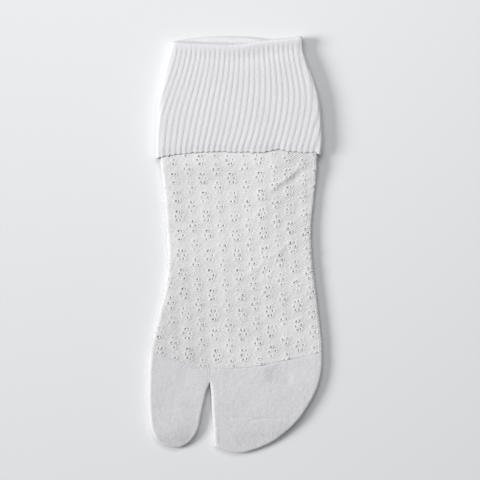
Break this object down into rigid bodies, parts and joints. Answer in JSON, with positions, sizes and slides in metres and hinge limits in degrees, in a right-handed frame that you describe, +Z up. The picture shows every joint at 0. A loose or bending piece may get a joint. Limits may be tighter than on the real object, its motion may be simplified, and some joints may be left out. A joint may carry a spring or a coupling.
{
  "type": "tabi sock",
  "caption": "Knitted ankle sock with a separate big toe, an openwork instep and a turned-down ribbed cuff, laid flat.",
  "frame": {"origin": "middle of the underside, on the surface that the sock lies on", "axes": "+Y from the toes to the mouth, +X across the foot from the big toe to the little toe, +Z up from the surface"},
  "size_m": [0.091, 0.2179, 0.0073],
  "materials": {
    "rib_knit": "soft white rib knit",
    "openwork_knit": "matt white openwork knit",
    "plain_knit": "matt white plain knit"
  },
  "bodies": {
    "root": {"ribbed_cuff": "rib_knit", "instep": "openwork_knit", "sole": "plain_knit", "heel": "plain_knit", "big_toe_pocket": "plain_knit", "toes_pocket": "plain_knit"}
  },
  "joints": []
}
